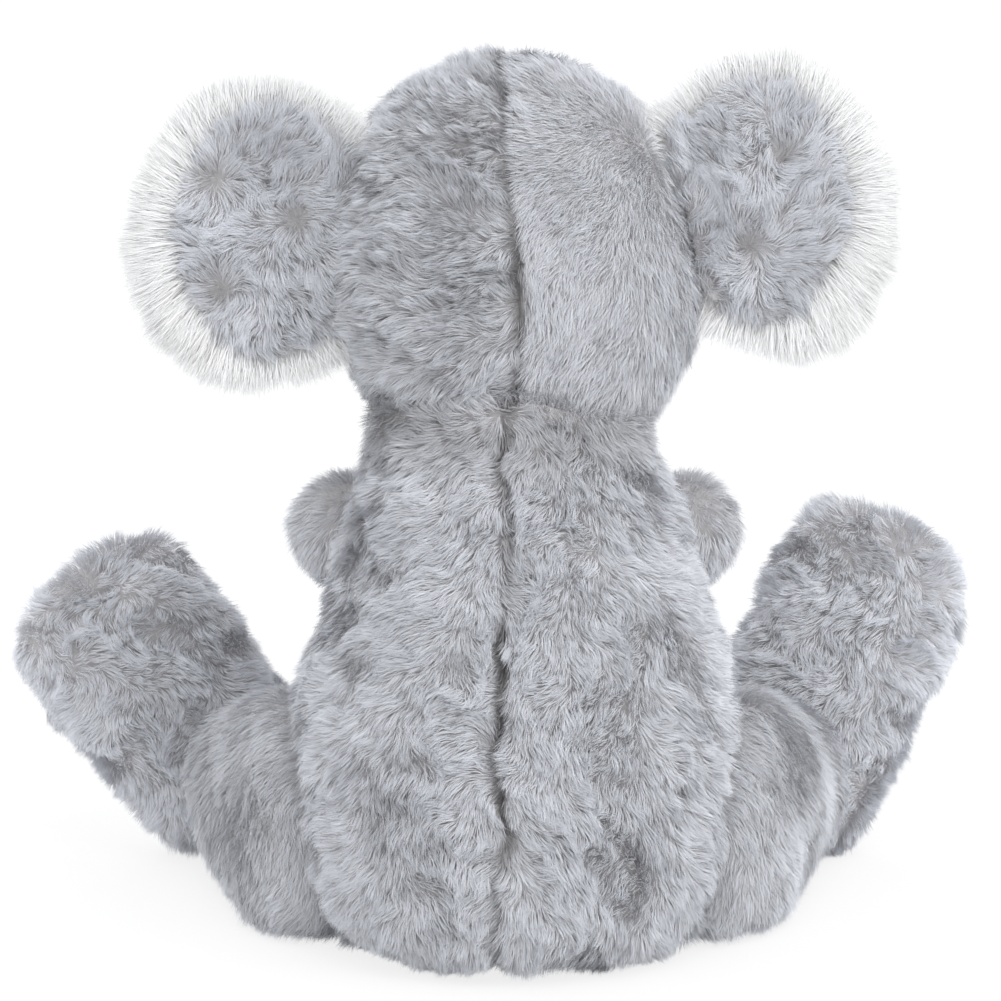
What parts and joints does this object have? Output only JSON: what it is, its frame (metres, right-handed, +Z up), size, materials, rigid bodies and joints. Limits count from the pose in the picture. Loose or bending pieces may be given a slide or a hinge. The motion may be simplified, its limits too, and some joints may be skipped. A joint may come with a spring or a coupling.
{
  "type": "plush_koala",
  "caption": "Sitting plush koala with shaggy grey fur, wide ears with long white lining, paddle feet and a black nose, jointed at neck, ears, arms and legs",
  "frame": {"origin": "centre of the flat seat that the toy sits on, under the middle of the body", "axes": "+Z up; the koala faces -Y; its own left side is at +X"},
  "size_m": [0.3336, 0.2134, 0.2946],
  "materials": {
    "grey_fur": "short silver-grey acrylic pile with darker grey-brown roots",
    "pale_fur": "off-white acrylic pile, long and loose in the ears",
    "seat_cloth": "the same grey pile, pressed flat under the seat",
    "sole_cloth": "short brushed grey cloth",
    "polyester_fibre": "loose white fibre filling",
    "pouch_cloth": "plain woven cotton",
    "black_plastic": "polished black",
    "washer_plastic": "natural moulded plastic",
    "thread": "thick black embroidery thread"
  },
  "bodies": {
    "body": {"back_panel_left": "grey_fur", "back_panel_right": "grey_fur", "belly_panel": "pale_fur", "seat_panel": "seat_cloth", "body_stuffing": "polyester_fibre", "bean_pouch": "pouch_cloth"},
    "head": {"head_panel_left": "grey_fur", "head_panel_right": "grey_fur", "muzzle_panel": "pale_fur", "head_stuffing": "polyester_fibre", "eye_left": "black_plastic", "eye_right": "black_plastic", "eye_left_washer": "washer_plastic", "eye_right_washer": "washer_plastic", "nose": "black_plastic", "nose_washer": "washer_plastic", "mouth_stitch": "thread"},
    "ear_left": {"ear_back_left": "grey_fur", "ear_lining_left": "pale_fur"},
    "ear_right": {"ear_back_right": "grey_fur", "ear_lining_right": "pale_fur"},
    "arm_left": {"arm_left": "grey_fur", "arm_stuffing_left": "polyester_fibre"},
    "arm_right": {"arm_right": "grey_fur", "arm_stuffing_right": "polyester_fibre"},
    "leg_left": {"leg_left": "grey_fur", "foot_left": "grey_fur", "sole_left": "sole_cloth", "leg_stuffing_left": "polyester_fibre"},
    "leg_right": {"leg_right": "grey_fur", "foot_right": "grey_fur", "sole_right": "sole_cloth", "leg_stuffing_right": "polyester_fibre"}
  },
  "joints": [
    {"name": "head_turn", "type": "hinge", "parent": "body", "child": "head", "pos_m": [0, 0, 0.1775], "axis": [0, -0.2079, 0.9781], "range_deg": [-25, 25], "stiffness_Nm_per_rad": 0.3},
    {"name": "ear_left_fold", "type": "hinge", "parent": "head", "child": "ear_left", "pos_m": [0.05609, -0.00567, 0.23303], "axis": [-0.0802, -0.2072, 0.975], "range_deg": [-22, 30], "stiffness_Nm_per_rad": 0.02},
    {"name": "ear_right_fold", "type": "hinge", "parent": "head", "child": "ear_right", "pos_m": [-0.05881, -0.00713, 0.23988], "axis": [-0.1977, 0.2038, -0.9588], "range_deg": [-22, 30], "stiffness_Nm_per_rad": 0.02},
    {"name": "arm_left_swing", "type": "hinge", "parent": "body", "child": "arm_left", "pos_m": [0.04858, -0.0237, 0.12939], "axis": [0.8442, -0.4489, 0.2928], "range_deg": [-35, 27], "stiffness_Nm_per_rad": 0.05},
    {"name": "arm_right_swing", "type": "hinge", "parent": "body", "child": "arm_right", "pos_m": [-0.04858, -0.0237, 0.12939], "axis": [0.8442, 0.4489, -0.2928], "range_deg": [-35, 27], "stiffness_Nm_per_rad": 0.05},
    {"name": "leg_left_swing", "type": "hinge", "parent": "body", "child": "leg_left", "pos_m": [0.05808, -0.02339, 0.03], "axis": [0.9613, 0.2756, 0], "range_deg": [-15, 60], "stiffness_Nm_per_rad": 0.1},
    {"name": "leg_right_swing", "type": "hinge", "parent": "body", "child": "leg_right", "pos_m": [-0.05808, -0.02339, 0.03], "axis": [0.9613, -0.2756, 0], "range_deg": [-15, 60], "stiffness_Nm_per_rad": 0.1}
  ]
}
